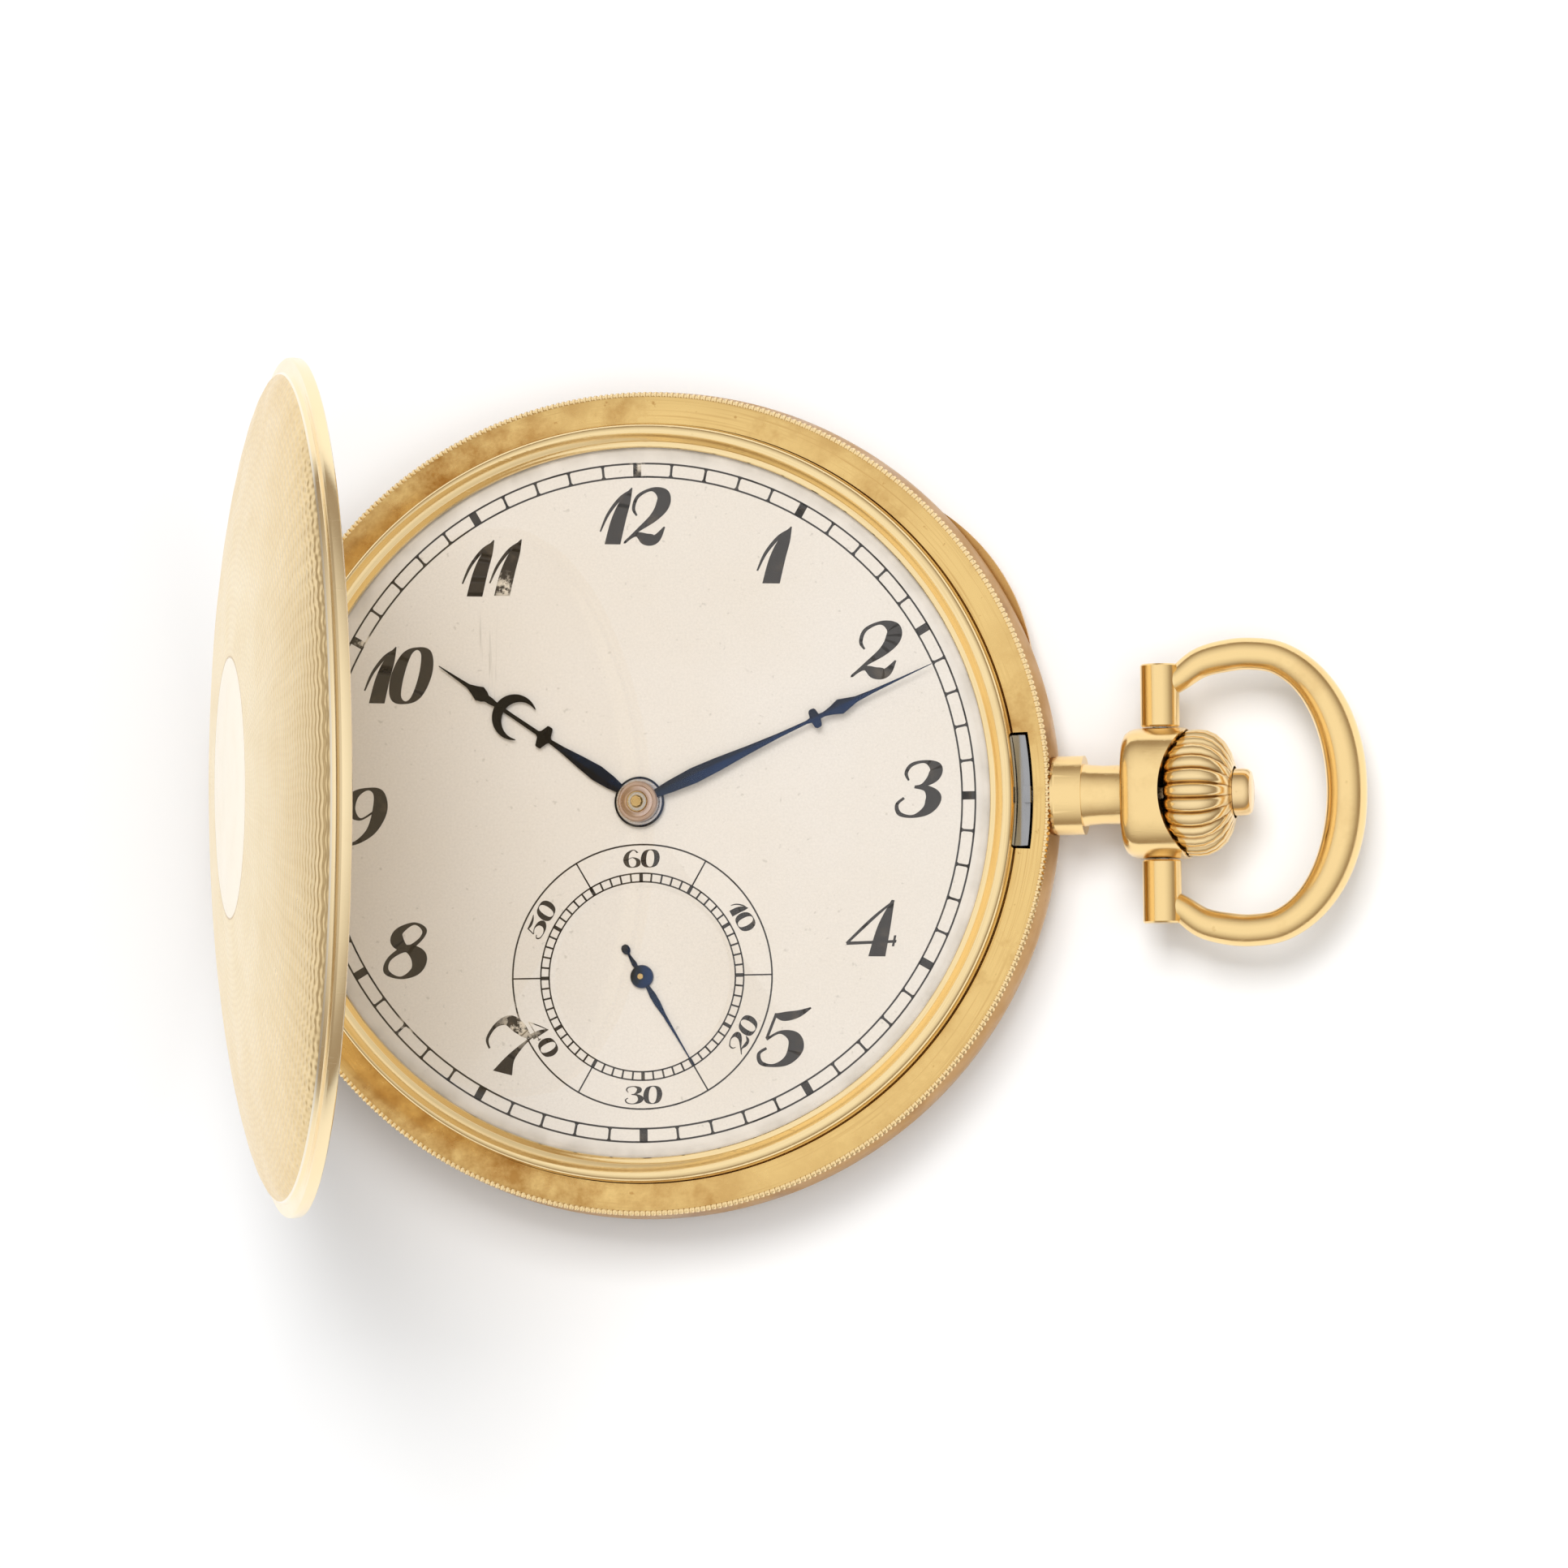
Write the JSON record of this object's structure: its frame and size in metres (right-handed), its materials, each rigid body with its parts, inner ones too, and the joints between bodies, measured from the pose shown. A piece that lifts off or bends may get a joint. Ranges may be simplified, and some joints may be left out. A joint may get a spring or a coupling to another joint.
{
  "type": "pocket watch",
  "caption": "Hunter-case keyless pocket watch: hinged engine-turned front cover shown open, dial with side seconds, crown, bow, hinged back and dust cover, lever movement.",
  "frame": {"origin": "centre of the flat outer face of the back cover, on the axis of the hands", "axes": "+Z from the back towards the dial, +X towards the crown and bow (3 o'clock), +Y towards 12 o'clock"},
  "size_m": [0.0706, 0.051, 0.0537],
  "materials": {
    "back_cover": "polished yellow gold",
    "back_hinge_pin": "polished yellow gold",
    "balance_cock": "nickel-plated plate",
    "balance_cock_screw": "polished steel",
    "balance_wheel": "gilt brass",
    "barrel": "gilt brass",
    "barrel_arbor": "polished steel",
    "barrel_bridge": "nickel-plated plate",
    "barrel_bridge_screw_1": "polished steel",
    "barrel_bridge_screw_2": "polished steel",
    "bezel": "polished yellow gold",
    "bow": "polished yellow gold",
    "bow_screw_lower": "polished steel",
    "bow_screw_upper": "polished steel",
    "cannon_pinion": "gilt brass",
    "case_band": "polished yellow gold",
    "catch_spring": "polished steel",
    "centre_wheel": "gilt brass",
    "click": "polished steel",
    "click_spring": "polished steel",
    "cover_catch": "polished steel",
    "crown": "polished yellow gold",
    "crown_wheel": "polished steel",
    "crown_wheel_screw": "polished steel",
    "crystal": "clear crystal",
    "cuvette": "polished yellow gold",
    "dial": "silvered matt dial",
    "escape_wheel": "polished steel",
    "fourth_wheel": "gilt brass",
    "front_cover": "engine-turned yellow gold",
    "front_hinge_pin": "polished yellow gold",
    "hairspring": "heat-blued steel",
    "hour_hand": "heat-blued steel",
    "hour_wheel": "gilt brass",
    "lift_spring": "polished steel",
    "main_plate": "nickel-plated plate",
    "mainspring": "polished steel",
    "minute_hand": "heat-blued steel",
    "minute_wheel": "gilt brass",
    "pallet_cock": "nickel-plated plate",
    "pallet_fork": "polished steel",
    "pendant": "polished yellow gold",
    "push_piece": "polished yellow gold",
    "ratchet_screw": "polished steel",
    "ratchet_wheel": "polished steel",
    "regulator": "polished steel",
    "seconds_hand": "heat-blued steel",
    "setting_lever": "polished steel",
    "setting_wheel": "polished steel",
    "sliding_pinion": "polished steel",
    "third_wheel": "gilt brass",
    "train_bridge": "nickel-plated plate",
    "train_bridge_screw_1": "polished steel",
    "train_bridge_screw_2": "polished steel",
    "winding_pinion": "polished steel",
    "winding_stem": "polished steel",
    "yoke": "polished steel"
  },
  "bodies": {
    "case": {"back_hinge_pin": "back_hinge_pin", "balance_cock": "balance_cock", "balance_cock_screw": "balance_cock_screw", "barrel_bridge": "barrel_bridge", "barrel_bridge_screw_1": "barrel_bridge_screw_1", "barrel_bridge_screw_2": "barrel_bridge_screw_2", "bezel": "bezel", "bow_screw_lower": "bow_screw_lower", "bow_screw_upper": "bow_screw_upper", "case_band": "case_band", "catch_spring": "catch_spring", "click_spring": "click_spring", "crown_wheel_screw": "crown_wheel_screw", "crystal": "crystal", "dial": "dial", "front_hinge_pin": "front_hinge_pin", "hairspring": "hairspring", "lift_spring": "lift_spring", "main_plate": "main_plate", "pallet_cock": "pallet_cock", "pendant": "pendant", "train_bridge": "train_bridge", "train_bridge_screw_1": "train_bridge_screw_1", "train_bridge_screw_2": "train_bridge_screw_2"},
    "front_cover": {"front_cover": "front_cover"},
    "back_cover": {"back_cover": "back_cover"},
    "cuvette": {"cuvette": "cuvette"},
    "bow": {"bow": "bow"},
    "winding_pinion": {"winding_pinion": "winding_pinion"},
    "crown_and_stem": {"crown": "crown", "winding_stem": "winding_stem"},
    "push_piece": {"push_piece": "push_piece"},
    "sliding_pinion": {"sliding_pinion": "sliding_pinion"},
    "cover_catch": {"cover_catch": "cover_catch"},
    "crown_wheel": {"crown_wheel": "crown_wheel"},
    "ratchet_wheel": {"ratchet_wheel": "ratchet_wheel", "ratchet_screw": "ratchet_screw", "barrel_arbor": "barrel_arbor"},
    "barrel": {"barrel": "barrel", "mainspring": "mainspring"},
    "centre_wheel": {"centre_wheel": "centre_wheel", "cannon_pinion": "cannon_pinion", "minute_hand": "minute_hand"},
    "third_wheel": {"third_wheel": "third_wheel"},
    "fourth_wheel": {"fourth_wheel": "fourth_wheel", "seconds_hand": "seconds_hand"},
    "escape_wheel": {"escape_wheel": "escape_wheel"},
    "pallet_fork": {"pallet_fork": "pallet_fork"},
    "balance_wheel": {"balance_wheel": "balance_wheel"},
    "hour_wheel": {"hour_wheel": "hour_wheel", "hour_hand": "hour_hand"},
    "minute_wheel": {"minute_wheel": "minute_wheel"},
    "setting_wheel": {"setting_wheel": "setting_wheel"},
    "click": {"click": "click"},
    "setting_lever": {"setting_lever": "setting_lever"},
    "yoke": {"yoke": "yoke"},
    "regulator": {"regulator": "regulator"}
  },
  "joints": [
    {"name": "front_cover_hinge", "type": "hinge", "parent": "case", "child": "front_cover", "pos_m": [-0.0249, 0, 0.00635], "axis": [0, -1, 0], "range_deg": [-69.3, 0], "stiffness_Nm_per_rad": 0.002, "springref_deg": 45.84},
    {"name": "back_cover_hinge", "type": "hinge", "parent": "case", "child": "back_cover", "pos_m": [-0.0249, 0, 0.0029], "axis": [0, 1, 0], "range_deg": [0, 100]},
    {"name": "cuvette_hinge", "type": "hinge", "parent": "case", "child": "cuvette", "pos_m": [-0.0233, 0, 0.00265], "axis": [0, 1, 0], "range_deg": [0, 85]},
    {"name": "bow_swivel", "type": "hinge", "parent": "case", "child": "bow", "pos_m": [0.03185, 0, 0.0044], "axis": [0, 1, 0], "range_deg": [-120, 120]},
    {"name": "crown_turn", "type": "hinge", "parent": "case", "child": "winding_pinion", "pos_m": [0.01795, 0, 0.0044], "axis": [1, 0, 0], "continuous": true},
    {"name": "crown_pull", "type": "slide", "parent": "winding_pinion", "child": "crown_and_stem", "axis": [1, 0, 0], "range_m": [0, 0.0008]},
    {"name": "crown_push", "type": "slide", "parent": "crown_and_stem", "child": "push_piece", "axis": [-1, 0, 0], "range_m": [0, 0.0004], "stiffness_N_per_m": 400, "springref_m": -0.0002},
    {"name": "sliding_pinion_shift", "type": "slide", "parent": "winding_pinion", "child": "sliding_pinion", "axis": [-1, 0, 0], "range_m": [0, 0.0005]},
    {"name": "catch_release", "type": "slide", "parent": "case", "child": "cover_catch", "axis": [-1, 0, 0], "range_m": [0, 0.0004]},
    {"name": "crown_wheel_turn", "type": "hinge", "parent": "case", "child": "crown_wheel", "pos_m": [0.0139, 0.0016, 0.002], "axis": [0, 0, 1], "continuous": true},
    {"name": "ratchet_turn", "type": "hinge", "parent": "case", "child": "ratchet_wheel", "pos_m": [0.00389, 0.00834, 0.002], "axis": [0, 0, 1], "continuous": true},
    {"name": "seconds_turn", "type": "hinge", "parent": "case", "child": "fourth_wheel", "pos_m": [0, -0.0107, 0.004], "axis": [0, 0, 1], "continuous": true},
    {"name": "third_turn", "type": "hinge", "parent": "case", "child": "third_wheel", "pos_m": [0.00414, -0.00589, 0.0045], "axis": [0, 0, 1], "continuous": true},
    {"name": "minute_turn", "type": "hinge", "parent": "case", "child": "centre_wheel", "pos_m": [0, 0, 0.004], "axis": [0, 0, 1], "continuous": true},
    {"name": "barrel_turn", "type": "hinge", "parent": "case", "child": "barrel", "pos_m": [0.00389, 0.00834, 0.004], "axis": [0, 0, 1], "continuous": true},
    {"name": "escape_turn", "type": "hinge", "parent": "case", "child": "escape_wheel", "pos_m": [-0.0053, -0.0092, 0.0045], "axis": [0, 0, 1], "continuous": true},
    {"name": "hour_turn", "type": "hinge", "parent": "case", "child": "hour_wheel", "pos_m": [0, 0, 0.0064], "axis": [0, 0, 1], "continuous": true},
    {"name": "minute_wheel_turn", "type": "hinge", "parent": "case", "child": "minute_wheel", "pos_m": [0.0039, -0.0009, 0.0062], "axis": [0, 0, 1], "continuous": true},
    {"name": "setting_wheel_turn", "type": "hinge", "parent": "case", "child": "setting_wheel", "pos_m": [0.01115, 0, 0.00615], "axis": [0, 0, 1], "continuous": true},
    {"name": "pallet_swing", "type": "hinge", "parent": "case", "child": "pallet_fork", "pos_m": [-0.0081, -0.0065, 0.0045], "axis": [0, 0, 1], "range_deg": [-6, 6]},
    {"name": "balance_swing", "type": "hinge", "parent": "case", "child": "balance_wheel", "pos_m": [-0.0123, -0.0025, 0.0038], "axis": [0, 0, 1], "range_deg": [-270, 270], "stiffness_Nm_per_rad": 0.00000084},
    {"name": "click_swing", "type": "hinge", "parent": "case", "child": "click", "pos_m": [-0.0046, 0.0133, 0.002], "axis": [0, 0, 1], "range_deg": [-10, 0], "stiffness_Nm_per_rad": 0.00001, "springref_deg": 5.73},
    {"name": "setting_lever_turn", "type": "hinge", "parent": "case", "child": "setting_lever", "pos_m": [0.016, -0.006, 0.0063], "axis": [0, 0, 1], "range_deg": [-5.73, 0]},
    {"name": "yoke_turn", "type": "hinge", "parent": "case", "child": "yoke", "pos_m": [0.0118, -0.0066, 0.0064], "axis": [0, 0, 1], "range_deg": [0, 4.34]},
    {"name": "regulator_turn", "type": "hinge", "parent": "case", "child": "regulator", "pos_m": [-0.0123, -0.0025, 0.0021], "axis": [0, 0, 1], "range_deg": [-20, 20]}
  ],
  "couplings": [
    {"joint": "cuvette_hinge", "follows": "back_cover_hinge", "ratio": 0.85},
    {"joint": "catch_release", "follows": "crown_push", "ratio": 1},
    {"joint": "sliding_pinion_shift", "follows": "crown_pull", "ratio": 0.625},
    {"joint": "yoke_turn", "follows": "crown_pull", "rad_per_m": 94.6},
    {"joint": "setting_lever_turn", "follows": "crown_pull", "rad_per_m": -125},
    {"joint": "crown_wheel_turn", "follows": "crown_turn", "ratio": 0.42857},
    {"joint": "ratchet_turn", "follows": "crown_turn", "ratio": -0.26667},
    {"joint": "third_turn", "follows": "seconds_turn", "ratio": -0.13333},
    {"joint": "minute_turn", "follows": "seconds_turn", "ratio": 0.016667},
    {"joint": "barrel_turn", "follows": "seconds_turn", "ratio": -0.0020833},
    {"joint": "escape_turn", "follows": "seconds_turn", "ratio": -10},
    {"joint": "hour_turn", "follows": "seconds_turn", "ratio": 0.0013889},
    {"joint": "minute_wheel_turn", "follows": "seconds_turn", "ratio": -0.0055556},
    {"joint": "setting_wheel_turn", "follows": "seconds_turn", "ratio": 0.004}
  ]
}
